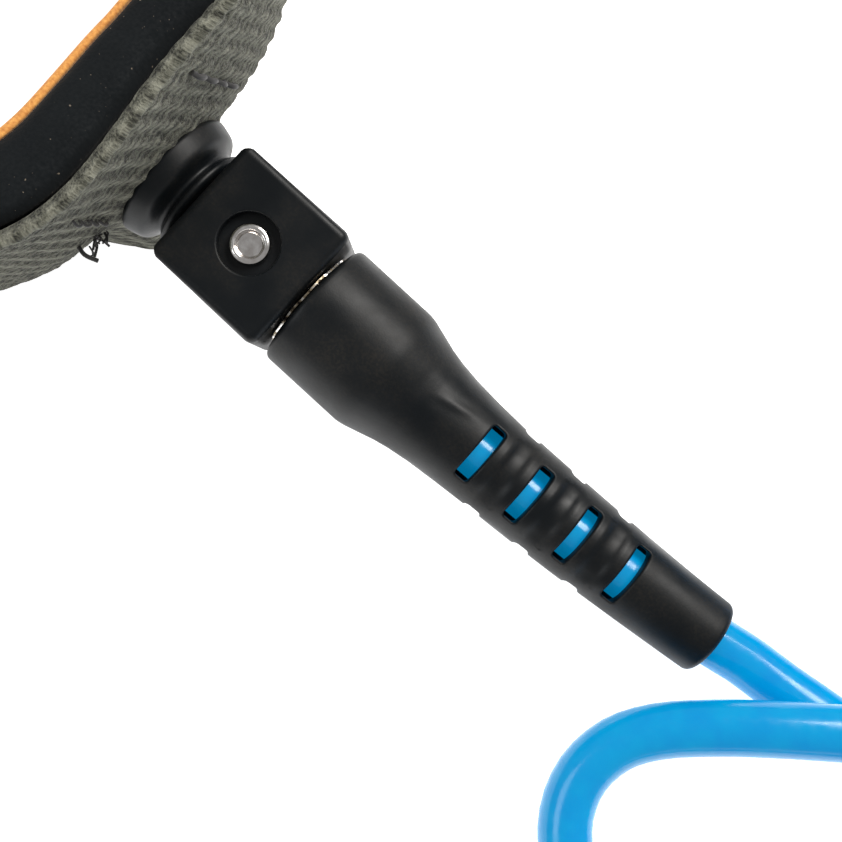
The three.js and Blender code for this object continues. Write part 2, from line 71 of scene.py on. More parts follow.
# ---- the leash's own frames ----
CUFF_PIN = middle("cuff_pin")
GROUND = Vector((CUFF_PIN.x, CUFF_PIN.y, 0)) / MM  # ground point under the cuff's pin
PIN_HEIGHT = CUFF_PIN.z / MM
TAIL_PIN = middle("tail_pin") / MM - GROUND
CUFF_SLOPE = math.radians(12.05)
CUFF_ROLL = math.radians(13.5)
TAIL_SLOPE = math.radians(4.03)
CUFF_TURN = Matrix.Rotation(CUFF_SLOPE, 4, "Y") @ Matrix.Rotation(CUFF_ROLL, 4, "X")
TAIL_TURN = Matrix.Rotation(TAIL_SLOPE, 4, "Y")
CUFF_FRAME = Matrix.Translation(CUFF_PIN) @ CUFF_TURN
TAIL_FRAME = Matrix.Translation(middle("tail_pin")) @ TAIL_TURN


def placed(point):
    """A point of the layout, in millimetres from the ground under the cuff's pin, in the row frame."""
    return (Vector(point) + GROUND) * MM


# ---- camera ----
AZIMUTH = math.radians(41.07)
ELEVATION = math.radians(72.0)
LENS, SENSOR = 53.23, 36
CAMERA_RIGHT, CAMERA_DOWN, CAMERA_BACK = 21.14, 21.83, 162  # in mm from the cuff's pin
turned = Matrix.Rotation(AZIMUTH, 3, "Z")
right = turned @ Vector((1, 0, 0))
ahead = turned @ Vector((0, math.cos(ELEVATION), -math.sin(ELEVATION)))
up = right.cross(ahead)
camera_data = bpy.data.cameras.new("camera")
camera_data.lens = LENS
camera_data.sensor_width = SENSOR
camera_data.clip_start = 0.005
camera = bpy.data.objects.new("camera", camera_data)
camera.matrix_world = Matrix.Translation(
    CUFF_PIN + (CAMERA_RIGHT * right - CAMERA_DOWN * up - CAMERA_BACK * ahead) * MM
) @ Matrix((right, up, -ahead)).transposed().to_4x4()
bpy.context.scene.collection.objects.link(camera)
bpy.context.scene.camera = camera


# ---- materials ----
RIB_PITCH, PICK_PITCH, LOOP_PITCH = 3.1, 1.7, 3.1  # of the webbing's weave, in mm
WEAVE_SLANT = 0.57  # how far a rib runs along the webbing for each mm across it
CORD_PAINTED_GLOW, PAINTED_GLOW_GAIN = 0.3, 2.1  # painted glow: emission that stands in for the light the urethane carries, and its gain against the cord's own colour


class Shader:
    """A Principled material with short ways to add the nodes used here."""

    def __init__(self, name, **values):
        self.material = bpy.data.materials.new(name)
        self.material.use_nodes = True
        self.tree = self.material.node_tree
        self.surface = self.tree.nodes["Principled BSDF"]
        for key, value in values.items():
            self.surface.inputs[key.replace("_", " ")].default_value = value
        self.place = self.tree.nodes.new("ShaderNodeTexCoord")

    def node(self, kind, **settings):
        made = self.tree.nodes.new("ShaderNode" + kind)
        for key, value in settings.items():
            if hasattr(made, key):
                setattr(made, key, value)
            else:
                made.inputs[key.replace("_", " ")].default_value = value
        return made

    def link(self, output, target):
        self.tree.links.new(output, target)

    def coordinates(self, stretch=(1, 1, 1), of="Object"):
        mapping = self.node("Mapping")
        mapping.inputs["Scale"].default_value = stretch
        self.link(self.place.outputs[of], mapping.inputs["Vector"])
        return mapping.outputs["Vector"]

    def noise(self, scale, detail=3.0, stretch=(1, 1, 1), of="Object"):
        made = self.node("TexNoise", Scale=scale, Detail=detail)
        self.link(self.coordinates(stretch, of), made.inputs["Vector"])
        return made.outputs["Fac"]

    def wave(self, pitch, axis, distortion):
        """Bands over the UV map; the texture itself turns by 20 radians in each unit."""
        made = self.node("TexWave", wave_type="BANDS", bands_direction=axis, wave_profile="SIN",
                         Scale=2 * math.pi / pitch / 20, Distortion=distortion, Detail=1.0)
        self.link(self.coordinates(of="UV"), made.inputs["Vector"])
        return made.outputs["Fac"]

    def ramp(self, value, stops):
        made = self.node("ValToRGB")
        elements = made.color_ramp.elements
        while len(elements) < len(stops):
            elements.new(0.5)
        for element, (position, colour) in zip(elements, stops):
            element.position = position
            element.color = (*colour, 1)
        self.link(value, made.inputs["Fac"])
        return made.outputs["Color"]

    def span(self, value, low, high, from_low=0.0, from_high=1.0):
        made = self.node("MapRange", clamp=True)
        limits = {"From Min": from_low, "From Max": from_high, "To Min": low, "To Max": high}
        for key, number in limits.items():
            made.inputs[key].default_value = number
        self.link(value, made.inputs["Value"])
        return made.outputs["Result"]

    def math(self, kind, first, second=None, value=None):
        made = self.node("Math", operation=kind)
        self.link(first, made.inputs[0])
        if second is not None:
            self.link(second, made.inputs[1])
        if value is not None:
            made.inputs[1].default_value = value
        return made.outputs[0]

    def mix(self, share, first, second):
        made = self.node("Mix", data_type="RGBA")
        self.link(share, made.inputs["Factor"])
        for socket, value in ((made.inputs[6], first), (made.inputs[7], second)):
            if isinstance(value, tuple):
                socket.default_value = (*value, 1)
            else:
                self.link(value, socket)
        return made.outputs[2]

    def bump(self, height, distance, strength=1.0, under=None):
        made = self.node("Bump", Strength=strength, Distance=distance)
        self.link(height, made.inputs["Height"])
        if under is not None:
            self.link(under, made.inputs["Normal"])
        self.link(made.outputs["Normal"], self.surface.inputs["Normal"])
        return made.outputs["Normal"]

    def colour(self, output):
        self.link(output, self.surface.inputs["Base Color"])

    def rough(self, output):
        self.link(output, self.surface.inputs["Roughness"])


def rubber_material():
    """Moulded rubber with patches of fine dust."""
    base, dusty = (0.0022, 0.0036, 0.0048), (0.013, 0.0115, 0.0095)
    shader = Shader("moulded_rubber", Specular_IOR_Level=0.25)
    cloud = shader.noise(140, 5.0)
    speck = shader.noise(2600, 2.0)
    patches, specks = shader.span(cloud, 0, 1, 0.42, 0.72), shader.span(speck, 0.25, 1, 0.42, 0.66)
    shader.colour(shader.mix(shader.math("MULTIPLY", patches, specks), base, dusty))
    shader.rough(shader.span(cloud, 0.33, 0.55, 0.3, 0.7))
    grain = shader.bump(shader.noise(5200, 3.0), 0.00003, 0.35)
    shader.bump(shader.noise(420, 4.0), 0.0002, 0.16, grain)
    return shader.material


def steel_material():
    shader = Shader("polished_steel", Metallic=1.0)
    smear = shader.noise(900, 4.0, (1, 1, 0.25))
    shader.colour(shader.ramp(smear, [(0.3, (0.62, 0.58, 0.55)), (0.7, (0.86, 0.84, 0.82))]))
    shader.rough(shader.span(smear, 0.10, 0.26, 0.3, 0.7))
    shader.bump(shader.noise(3000, 2.0, (1, 1, 0.2)), 0.00002, 0.25)
    return shader.material


def washer_material():
    shader = Shader("washer_steel", Metallic=1.0)
    patch = shader.noise(750, 4.0)
    stain, film, bare = (0.025, 0.02, 0.018), (0.34, 0.28, 0.19), (0.85, 0.83, 0.8)
    shader.colour(shader.ramp(patch, [(0.40, stain), (0.50, film), (0.58, bare)]))
    shader.rough(shader.span(patch, 0.5, 0.12, 0.4, 0.6))
    shader.bump(patch, 0.0001, 0.4)
    return shader.material


def cord_material(name, base, deep, rough):
    """Tinted urethane with a cloudy depth of colour, and a painted glow: emission that stands in for the
    light clear urethane carries.
    """
    shader = Shader(name, IOR=1.49, Transmission_Weight=0.1, Specular_IOR_Level=0.4)
    haze = shader.noise(260, 4.0)
    # painted light: the cord and its plug glow by emission though they are no lamp
    painted_glow = shader.surface.inputs["Emission Color"]
    painted_glow.default_value = (*(PAINTED_GLOW_GAIN * value for value in base), 1)
    shader.surface.inputs["Emission Strength"].default_value = CORD_PAINTED_GLOW
    shader.colour(shader.mix(shader.span(haze, 0, 1, 0.35, 0.7), base, deep))
    shader.rough(shader.span(shader.noise(900, 3.0), rough, rough + 0.12, 0.35, 0.7))
    shader.bump(shader.noise(1500, 2.0), 0.00003, 0.2)
    return shader.material


def foam_material():
    shader = Shader("foam_skin", Sheen_Weight=0.06, Sheen_Roughness=0.5, Specular_IOR_Level=0.15)
    knit = shader.noise(2300, 2.0, (1, 1, 0.6))
    cloud = shader.noise(160, 3.0)
    base = shader.mix(shader.span(cloud, 0, 1, 0.3, 0.7), (0.0028, 0.0042, 0.0052), (0.0052, 0.0070, 0.0082))
    lint = shader.span(shader.noise(1900, 1.0), 0, 1, 0.75, 0.79)
    shader.colour(shader.mix(lint, base, (0.16, 0.13, 0.10)))
    shader.rough(shader.span(knit, 0.72, 0.95, 0.3, 0.7))
    shader.bump(shader.noise(420, 3.0), 0.0005, 0.25, shader.bump(knit, 0.00012, 0.7))
    return shader.material


def lining_material():
    shader = Shader("lining_knit", Sheen_Weight=0.3, Sheen_Roughness=0.5)
    loops = shader.noise(2400, 2.0, (1, 1, 0.45))
    shader.colour(shader.ramp(loops, [(0.25, (0.50, 0.17, 0.025)), (0.75, (0.86, 0.42, 0.10))]))
    shader.rough(shader.span(loops, 0.7, 0.95))
    shader.bump(loops, 0.0001, 0.6)
    return shader.material


def webbing_material():
    """Coarse polyester webbing with a knobbly weave and painted shade in its hollows: UV is in millimetres,
    along the strap and across it.
    """
    light, middle, weave_hollow_shade = (0.34, 0.34, 0.275), (0.16, 0.16, 0.125), (0.026, 0.026, 0.02)
    shader = Shader("webbing_weave", Sheen_Weight=0.08, Sheen_Roughness=0.5, Specular_IOR_Level=0.2)
    rib = shader.wave(RIB_PITCH, "X", 1.4)
    pick = shader.wave(PICK_PITCH, "Y", 4.0)
    knob = shader.noise(0.95, 4.0, (1.2, 1.0, 1), "UV")
    fine = shader.noise(3.4, 5.0, (1.0, 1.0, 1), "UV")
    cell = shader.math("MULTIPLY", shader.span(rib, 0.45, 1), shader.span(pick, 0.5, 1))
    height = shader.math("MULTIPLY", fine, value=0.8)
    for layer, weight in ((cell, 0.45), (knob, 0.75)):
        height = shader.math("ADD", height, shader.math("MULTIPLY", layer, value=weight))
    # painted shade: the colour follows the weave's height, near black in its hollows and lighter on its
    # raised knobs
    depth_shade = shader.span(height, 0, 1, 0.82, 1.45)
    shader.colour(shader.ramp(depth_shade, [(0.0, weave_hollow_shade), (0.4, middle), (1.0, light)]))
    shader.rough(shader.span(fine, 0.78, 0.98))
    shader.bump(height, 0.0008, 1.0)
    return shader.material


def nap_material():
    base = (0.007, 0.0075, 0.008)
    shader = Shader("hook_and_loop", Sheen_Weight=0.4, Sheen_Roughness=0.6)
    hair = shader.noise(2600, 3.0)
    shader.colour(shader.mix(hair, base, tuple(3.2 * value for value in base)))
    shader.rough(shader.span(hair, 0.85, 1.0))
    shader.bump(hair, 0.0005, 1.0)
    return shader.material


def thread_material():
    shader = Shader("black_thread", Sheen_Weight=0.2)
    twist = shader.noise(3500, 2.0)
    shader.colour(shader.mix(twist, (0.006, 0.006, 0.007), (0.03, 0.028, 0.026)))
    shader.rough(shader.span(twist, 0.6, 0.9))
    return shader.material


RUBBER = rubber_material()
STEEL = steel_material()
WASHER_STEEL = washer_material()
CORD = cord_material("urethane_cord", (0.0, 0.21, 0.42), (0.0, 0.16, 0.40), 0.14)
CORD_END = cord_material("urethane_plug", (0.0, 0.10, 0.33), (0.0, 0.06, 0.22), 0.25)
FOAM = foam_material()
LINING = lining_material()
WEBBING = webbing_material()
NAP = nap_material()
THREAD = thread_material()


# ---- meshes ----
def add_mesh(name, points, faces, material, frame_matrix=None, uv=None, sharp=None):
    """A mesh object from points in millimetres, in the layout or in a leash frame."""
    mesh = bpy.data.meshes.new(name)
    if frame_matrix is None:
        places = [placed(point) for point in points]
    else:
        places = [frame_matrix @ (Vector(point) * MM) for point in points]
    mesh.from_pydata(places, [], faces)
    mesh.validate()
    mesh.materials.append(material)
    mesh.shade_smooth()
    if sharp is not None:
        mesh.set_sharp_from_angle(angle=math.radians(sharp))
    if uv is not None:
        layer = mesh.uv_layers.new(name="UVMap")
        for loop in mesh.loops:
            layer.data[loop.index].uv = uv[loop.vertex_index]
    made = bpy.data.objects.new(name, mesh)
    bpy.context.scene.collection.objects.link(made)
    return made


def swept_faces(rows, columns):
    """Faces of a solid swept from a closed outline, with its first and last row closed."""
    faces = []
    for i in range(rows - 1):
        for j in range(columns):
            a, b = i * columns + j, i * columns + (j + 1) % columns
            faces.append((a, b, b + columns, a + columns))
    faces.append(tuple(range(columns)))
    faces.append(tuple(range(rows * columns - 1, (rows - 1) * columns - 1, -1)))
    return faces


def lathe(profile, sides):
    """Points and faces of a solid turned about X from [x, radius] pairs; a zero radius is one point."""
    points, rings = [], []
    for x, radius in profile:
        if radius < 1e-6:
            rings.append([len(points)] * sides)
            points.append((x, 0.0, 0.0))
            continue
        rings.append(list(range(len(points), len(points) + sides)))
        for j in range(sides):
            turn = 2 * math.pi * j / sides
            points.append((x, radius * math.cos(turn), radius * math.sin(turn)))
    faces = []
    for low, high in zip(rings, rings[1:]):
        for j in range(sides):
            k = (j + 1) % sides
            corners = [low[j], low[k], high[k], high[j]]
            face = [corner for n, corner in enumerate(corners) if corner not in corners[:n]]
            if len(face) > 2:
                faces.append(tuple(face))
    return points, faces


def rounded(profile, radius, steps):
    """Rounds the corners of an open polyline of [x, y] pairs."""
    out = [np.array(profile[0], float)]
    for i in range(1, len(profile) - 1):
        before, corner, after = (np.array(profile[k], float) for k in (i - 1, i, i + 1))
        in_length, out_length = np.linalg.norm(corner - before), np.linalg.norm(after - corner)
        reach = min(radius, in_length * 0.49, out_length * 0.49)
        start = corner + (before - corner) / max(in_length, 1e-9) * reach
        end = corner + (after - corner) / max(out_length, 1e-9) * reach
        for k in range(steps + 1):
            t = k / steps
            out.append((1 - t) ** 2 * start + 2 * t * (1 - t) * corner + t * t * end)
    out.append(np.array(profile[-1], float))
    return [tuple(point) for point in out]


def smooth_curve(points, per_span):
    """Centripetal Catmull-Rom samples through points, with the ends carried on."""
    given = [np.array(point, float) for point in points]
    given = [2 * given[0] - given[1], *given, 2 * given[-1] - given[-2]]
    out = []
    for i in range(len(given) - 3):
        p = given[i:i + 4]
        t = [0.0]
        for a, b in zip(p, p[1:]):
            t.append(t[-1] + max(np.linalg.norm(b - a), 1e-9) ** 0.5)
        count = per_span(np.linalg.norm(p[2] - p[1])) if callable(per_span) else per_span
        for k in range(count):
            s = t[1] + (t[2] - t[1]) * k / count
            a = [((t[j + 1] - s) * p[j] + (s - t[j]) * p[j + 1]) / (t[j + 1] - t[j]) for j in range(3)]
            b = [((t[j + 2] - s) * a[j] + (s - t[j]) * a[j + 1]) / (t[j + 2] - t[j]) for j in range(2)]
            out.append(((t[2] - s) * b[0] + (s - t[1]) * b[1]) / (t[2] - t[1]))
    out.append(given[-2])
    return out


def smoothstep(value, low, high):
    t = min(max((value - low) / (high - low), 0.0), 1.0)
    return t * t * (3 - 2 * t)


def curve_piece(name, line, radius, resolution, material):
    """A round rod of the given radius in mm, swept along a line of places in the row frame."""
    data = bpy.data.curves.new(name, "CURVE")
    data.dimensions = "3D"
    data.bevel_depth = radius * MM
    data.bevel_resolution = resolution
    data.use_fill_caps = True
    strand = data.splines.new("POLY")
    strand.points.add(len(line) - 1)
    for knot, place in zip(strand.points, line):
        knot.co = (*place, 1)
    strand.use_smooth = True
    data.materials.append(material)
    made = bpy.data.objects.new(name, data)
    bpy.context.scene.collection.objects.link(made)
    return made


def finish(piece, body, slot, *nodes):
    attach(piece, body)
    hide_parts(*nodes)
    return piece


# ---- boot, measured along the leash from the cross pin's axis ----
BOOT_FRONT, BOOT_LENGTH = 9.6, 67.7
BOOT_TIP = 77.3  # where the cord comes out
BEND_START = BOOT_FRONT + 13.6
CUFF_BEND = 0.1
CORD_RADIUS, BORE = 3.5, 3.75
FERRULE_TIP = 33.9


def bent(point, angle):
    x, y, z = point
    along = x - BEND_START
    if along <= 0 or angle == 0:
        return point
    radius = (BOOT_FRONT + BOOT_LENGTH - BEND_START) / angle
    turn = along / radius
    side = radius - y
    return BEND_START + side * math.sin(turn), radius - side * math.cos(turn), z


def cuff_axis(along):
    return tuple((CUFF_TURN @ Vector(bent((along, 0, 0), CUFF_BEND))) + Vector((0, 0, PIN_HEIGHT)))


def tail_axis(along):
    return tuple((TAIL_TURN @ Vector((along, 0, 0))) + TAIL_PIN)


# ---- cord ----
# The route between the cuff's boot and the coil: down to the ground, once round a loop, over itself.
CORD_ROUTE = [
    (80.3, 3.6, 5.2), (86.5, 4.2, 4.2), (93.0, 4.9, 3.7), (100.8, 5.3, 3.6), (108.2, 4.2, 3.6),
    (117.5, -0.2, 3.6), (123.7, -8.3, 3.6), (125.3, -18.5, 3.6), (121.8, -28.5, 3.6), (113.5, -35.7, 3.6),
    (102.7, -37.8, 3.6), (92.2, -36.4, 3.6), (85.5, -34.0, 3.6), (78.9, -30.4, 3.7), (75.4, -26.4, 4.3),
    (73.8, -21.3, 5.5), (74.6, -16.0, 6.9), (77.4, -11.6, 8.3), (82.3, -6.9, 9.6), (87.3, -2.8, 10.6),
    (92.5, 1.2, 11.1), (98.1, 5.4, 11.2), (103.7, 9.6, 10.7), (109.4, 13.7, 9.0), (115.1, 17.8, 7.0),
    (121.3, 22.1, 5.5), (127.7, 26.9, 4.8), (133.3, 31.2, 4.8),
]
LEAD_ROUTE = [
    (104.0, 109.5, 11.3), (98.0, 109.6, 9.9), (92.0, 109.8, 8.0), (86.0, 109.9, 6.4), (80.0, 110.0, 5.2),
]
COIL_CENTRE = (110.8, 67.4)
COIL_OUTER, COIL_INNER = 42.0, 35.0
COIL_LOW, COIL_HIGH = 4.8, 11.9
COIL_START, COIL_TURNS = math.radians(-49), 3.386
POINTS_PER_TURN = 24


def coil_point(turns):
    inner = smoothstep(turns, 0.833, 1.0) - smoothstep(turns, 2.5, 2.667)
    radius = COIL_OUTER + (COIL_INNER - COIL_OUTER) * inner
    height = COIL_LOW + (COIL_HIGH - COIL_LOW) * smoothstep(turns, 1.667, 1.833)
    angle = COIL_START + 2 * math.pi * turns
    return COIL_CENTRE[0] + radius * math.cos(angle), COIL_CENTRE[1] + radius * math.sin(angle), height


def cord_points():
    inside = [cuff_axis(along) for along in (FERRULE_TIP, 39, 45, 51, 57, 62, 67, 72, BOOT_TIP)]
    count = round(COIL_TURNS * POINTS_PER_TURN)
    turns = [coil_point(COIL_TURNS * i / count) for i in range(count + 1)]
    into_tail = [tail_axis(along) for along in (BOOT_TIP, 70, 60, 48, FERRULE_TIP)]
    route = inside + CORD_ROUTE + turns + LEAD_ROUTE + into_tail
    return smooth_curve(route, lambda span: max(2, round(span / 2.0)))


cord_line = [placed(point) for point in cord_points()]
cord = curve_piece("cord", cord_line, CORD_RADIUS, 9, CORD)
finish(cord, "root", "cord", "leash_cord", "cord_coil", "cord_lead")


# ---- swivel pieces ----
def pin_piece(name, matrix):
    top, head, cup, deep = 8.8, 2.65, 1.65, 1.0
    half = [(top - deep, 0.0), (top - deep, cup - 0.15), (top - deep + 0.2, cup), (top - 0.12, cup + 0.12),
            (top, cup + 0.3), (top, head - 0.45), (top - 0.18, head - 0.12), (top - 0.5, head),
            (top - 1.0, head), (top - 1.0, 1.6)]
    half = [half[0]] + rounded(half[1:-1], 0.12, 3) + [half[-1]]
    profile = [(-z, radius) for z, radius in half] + half[::-1]
    points, faces = lathe(profile, 48)
    upright = Matrix.Rotation(-math.pi / 2, 4, "Y")
    return add_mesh(name, points, faces, STEEL, matrix @ upright, sharp=50)


def washer_piece(name, matrix):
    profile = [(8.97, 2.8), (8.97, 7.0), (9.05, 7.2), (9.29, 7.2), (9.37, 7.0), (9.37, 2.8), (8.97, 2.8)]
    points, faces = lathe(profile, 72)
    points = [(x + 0.05 * math.sin(9 * math.atan2(z, y)), y, z) for x, y, z in points]
    return add_mesh(name, points, faces, WASHER_STEEL, matrix, sharp=40)


def horn_piece(name, matrix):
    profile = [
        (-17.0, 6.9), (-15.6, 6.9), (-15.45, 9.0), (-14.9, 9.25), (-13.6, 8.95), (-12.5, 8.6), (-12.0, 7.8),
        (-11.75, 7.2), (-11.35, 6.65), (-10.95, 6.55), (-10.6, 6.85), (-10.35, 7.35), (-9.85, 7.4),
        (-9.5, 7.1), (-9.35, 6.6), (-9.35, 4.3), (-7.0, 4.2), (-6.6, 3.0), (-6.6, 0.0),
    ]
    points, faces = lathe(rounded(profile, 0.45, 3), 96)
    return add_mesh(name, points, faces, RUBBER, matrix, sharp=60)


def boot_radius(x):
    """Outside radius at x along the boot, without the grooves."""
    table = [(0, 9.2), (11.6, 9.2), (12.5, 9.19), (13.5, 9.03), (15.6, 8.42), (17.7, 7.8), (19.8, 7.36),
             (22.9, 6.92), (27.0, 6.6), (31.0, 6.37), (37.5, 6.2), (46.0, 5.95), (54.0, 5.65), (62.0, 5.38),
             (67.7, 5.22)]
    xs, radii = zip(*table)
    return float(np.interp(x, xs, radii))


WINDOW_FIRST, WINDOW_PITCH, WINDOW_LONG = 29.1, 8.0, 2.1
FRONT_HALF, BACK_HALF, SIDE_HALF = 4.0, 2.6, 1.7
FRONT_SPAN = math.radians(50)  # half of the angle that a front or back row of windows has to itself
WINDOW_CORNER = 0.75
EDGE = 0.28  # rounding where a window meets the outside
CELL_STEP, CELL_ROWS = 0.5, 16  # grid rows of one window's stretch of the boot
FRONT_COLUMNS, SIDE_COLUMNS = 28, 22


def groove(x):
    """Depth at x of the shallow grooves between the windows."""
    depth = 0.0
    for i in range(3):
        from_middle = abs(x - (WINDOW_FIRST + WINDOW_PITCH * (i + 0.5)))
        depth += 0.42 * (1 - smoothstep(from_middle, 0.75, 1.6))
    return depth


def boot_surface(x, theta, crease):
    """Outside radius of the boot, before it is bent, at x along it and theta round it from its face."""
    radius = boot_radius(x) - groove(x) * (1 - 0.8 * smoothstep(abs(math.sin(theta)), 0.55, 0.9))
    if x < 0.8:
        radius -= 0.8 - math.sqrt(max(0.0, 0.64 - (0.8 - x) ** 2))
    if x > BOOT_LENGTH - 0.9:
        radius -= 0.9 - math.sqrt(max(0.0, 0.81 - (x - BOOT_LENGTH + 0.9) ** 2))
    if crease:
        across = (theta - 0.35) * 7.5
        ridge = math.exp(-((across - 0.28 * (x - 22.5)) ** 2) / 0.35) * math.exp(-((x - 23.0) ** 2) / 9.0)
        radius += 0.16 * ridge
        radius -= 0.12 * math.exp(-((across + 1.2) ** 2) / 2.2) * math.exp(-((x - 20.0) ** 2) / 14.0)
    return radius


def outline_point(share, half_long, half_wide, corner):
    """A point on a rounded rectangle's outline that matches the same share of a plain rectangle's outline."""
    x, y = share
    reach_x, reach_y = half_long - corner, half_wide - corner
    ax, ay = x * half_long, y * half_wide
    if abs(ax) > reach_x and abs(ay) > reach_y:
        dx, dy = ax - math.copysign(reach_x, ax), ay - math.copysign(reach_y, ay)
        length = max(math.hypot(dx, dy), 1e-9)
        ax = math.copysign(reach_x, ax) + dx / length * corner
        ay = math.copysign(reach_y, ay) + dy / length * corner
    return ax, ay


def boot_piece(name, matrix, angle, crease):
    """The boot's outside as one grid, with each window's patch of rings let into it."""
    points, faces = [], []
    index = {}

    def add(point):
        points.append(bent(point, angle))
        return len(points) - 1

    def spot(x, theta):
        radius = boot_surface(x, theta, crease)
        return x + BOOT_FRONT, radius * math.sin(theta), radius * math.cos(theta)

    front = [FRONT_SPAN * (2 * j / FRONT_COLUMNS - 1) for j in range(FRONT_COLUMNS)]
    side = [FRONT_SPAN + (math.pi - 2 * FRONT_SPAN) * j / SIDE_COLUMNS for j in range(SIDE_COLUMNS)]
    thetas = front + side + [t + math.pi for t in front] + [t + math.pi for t in side]
    columns = len(thetas)
    # first column of each sector
    edges = [0, FRONT_COLUMNS, columns // 2, columns // 2 + FRONT_COLUMNS, columns]
    cells_from = WINDOW_FIRST - WINDOW_PITCH / 2
    stations = list(np.concatenate([
        [0, 0.06, 0.2, 0.45, 0.8], np.linspace(1.4, 11.6, 12), np.linspace(12, 24.6, 30),
        np.arange(cells_from, cells_from + 4 * WINDOW_PITCH + 0.01, CELL_STEP),
        np.linspace(58, 66.8, 14), [67.05, 67.3, 67.5, 67.62, BOOT_LENGTH],
    ]))
    first_cell = int(np.argmin(np.abs(np.array(stations) - cells_from)))
    for i, x in enumerate(stations):
        for j, theta in enumerate(thetas):
            index[i, j] = add(spot(x, theta))

    windows = []
    sectors = ((0, FRONT_HALF), (1, SIDE_HALF), (0, BACK_HALF), (1, SIDE_HALF))
    for sector, (shift, half_wide) in enumerate(sectors):
        for n in range(4 - shift):
            first_row = first_cell + CELL_ROWS * n + CELL_ROWS // 2 * shift
            windows.append((first_row, edges[sector], edges[sector + 1], half_wide))
    covered = set()
    for first_row, low, high, _ in windows:
        covered.update((i, j) for i in range(first_row, first_row + CELL_ROWS) for j in range(low, high))
    for i in range(len(stations) - 1):
        for j in range(columns):
            if (i, j) not in covered:
                k = (j + 1) % columns
                faces.append((index[i, j], index[i, k], index[i + 1, k], index[i + 1, j]))

    for first_row, low, high, half_wide in windows:
        wide = high - low
        loop = [(i, 0) for i in range(CELL_ROWS)] + [(CELL_ROWS, j) for j in range(wide)]
        loop += [(i, wide) for i in range(CELL_ROWS, 0, -1)] + [(0, j) for j in range(wide, 0, -1)]
        x_middle = stations[first_row + CELL_ROWS // 2]
        theta_low = thetas[low]
        theta_high = thetas[high % columns] + (2 * math.pi if high == columns else 0)
        theta_middle = (theta_low + theta_high) / 2
        radius = boot_radius(x_middle)
        previous = [index[first_row + i, (low + j) % columns] for i, j in loop]
        targets = []
        for i, j in loop:
            share = (2 * i / CELL_ROWS - 1, 2 * j / wide - 1)
            x, y = outline_point(share, WINDOW_LONG / 2 + EDGE, half_wide + EDGE, WINDOW_CORNER)
            targets.append((x, math.asin(min(0.97, y / radius))))
        for ring in range(1, 8):
            t = 1 - (1 - ring / 7) ** 1.6
            current = []
            for (i, j), (x, theta) in zip(loop, targets):
                outer_x = stations[first_row + i] - x_middle
                outer_theta = (theta_high - theta_low) * (j / wide - 0.5)
                current.append(add(spot(x_middle + outer_x + (x - outer_x) * t,
                                        theta_middle + outer_theta + (theta - outer_theta) * t)))
            for a in range(len(loop)):
                b = (a + 1) % len(loop)
                faces.append((previous[a], current[a], current[b], previous[b]))
            previous = current
        for sink, inward in ((0.04, 0.11), (0.12, 0.2), (0.28, 0.28), (None, 0.28)):
            current = []
            for (i, j), (x, theta) in zip(loop, targets):
                share = (2 * i / CELL_ROWS - 1, 2 * j / wide - 1)
                x, y = outline_point(share, WINDOW_LONG / 2 + EDGE - inward, half_wide + EDGE - inward,
                                     WINDOW_CORNER - inward)
                height = math.sqrt(max(0.1, boot_surface(x_middle + x, 0, False) ** 2 - y * y))
                z = height - sink if sink is not None else max(0.8, math.sqrt(max(0.0, BORE ** 2 - y * y)))
                point = Vector((x_middle + x + BOOT_FRONT, y, z))
                current.append(add(tuple(Matrix.Rotation(-theta_middle, 3, "X") @ point)))
            for a in range(len(loop)):
                b = (a + 1) % len(loop)
                faces.append((previous[a], current[a], current[b], previous[b]))
            previous = current

    for row, inner in ((0, [(0, 8.2), (0, 2.8), (5.0, 2.8)]),
                       (len(stations) - 1, [(BOOT_LENGTH, 4.15), (67.55, 3.85), (67.2, BORE), (58.6, BORE)])):
        previous = [index[row, j] for j in range(columns)]
        for x, radius in inner:
            current = [add((x + BOOT_FRONT, radius * math.sin(t), radius * math.cos(t))) for t in thetas]
            for a in range(columns):
                b = (a + 1) % columns
                quad = (previous[a], previous[b], current[b], current[a])
                faces.append(quad[::-1] if row == 0 else quad)
            previous = current
    return add_mesh(name, points, faces, RUBBER, matrix, sharp=55)


def rounded_box(low, high, radius, steps=6):
    """Points and faces of a box whose edges are rounded, as a grid on each side pulled to the rounding."""
    low, high = np.array(low, float), np.array(high, float)
    inner_low, inner_high = low + radius, high - radius
    marks = [np.concatenate([
        low[k] + radius * (1 - np.cos(np.linspace(0, math.pi / 2, steps))),
        high[k] - radius * (1 - np.sin(np.linspace(0, math.pi / 2, steps))),
    ]) for k in range(3)]
    points, faces, seen = [], [], {}

    def vertex(place):
        key = tuple(np.round(place, 5))
        if key not in seen:
            core = np.clip(place, inner_low, inner_high)
            away = place - core
            length = np.linalg.norm(away)
            seen[key] = len(points)
            points.append(tuple(core + away / length * radius if length > 1e-9 else place))
        return seen[key]

    for k in range(3):
        a, b = (k + 1) % 3, (k + 2) % 3
        for end in (low[k], high[k]):
            for i in range(len(marks[a]) - 1):
                for j in range(len(marks[b]) - 1):
                    corners = []
                    for u, v in ((i, j), (i + 1, j), (i + 1, j + 1), (i, j + 1)):
                        place = np.zeros(3)
                        place[k], place[a], place[b] = end, marks[a][u], marks[b][v]
                        corners.append(vertex(place))
                    faces.append(tuple(corners if end == high[k] else corners[::-1]))
    return points, faces


def subtract(piece, *cutters):
    for cutter in cutters:
        modifier = piece.modifiers.new("cut", "BOOLEAN")
        modifier.operation = "DIFFERENCE"
        modifier.solver = "EXACT"
        modifier.object = cutter
    graph = bpy.context.evaluated_depsgraph_get()
    mesh = bpy.data.meshes.new_from_object(piece.evaluated_get(graph))
    piece.modifiers.clear()
    piece.data = mesh
    for cutter in cutters:
        bpy.data.objects.remove(cutter)
    return piece


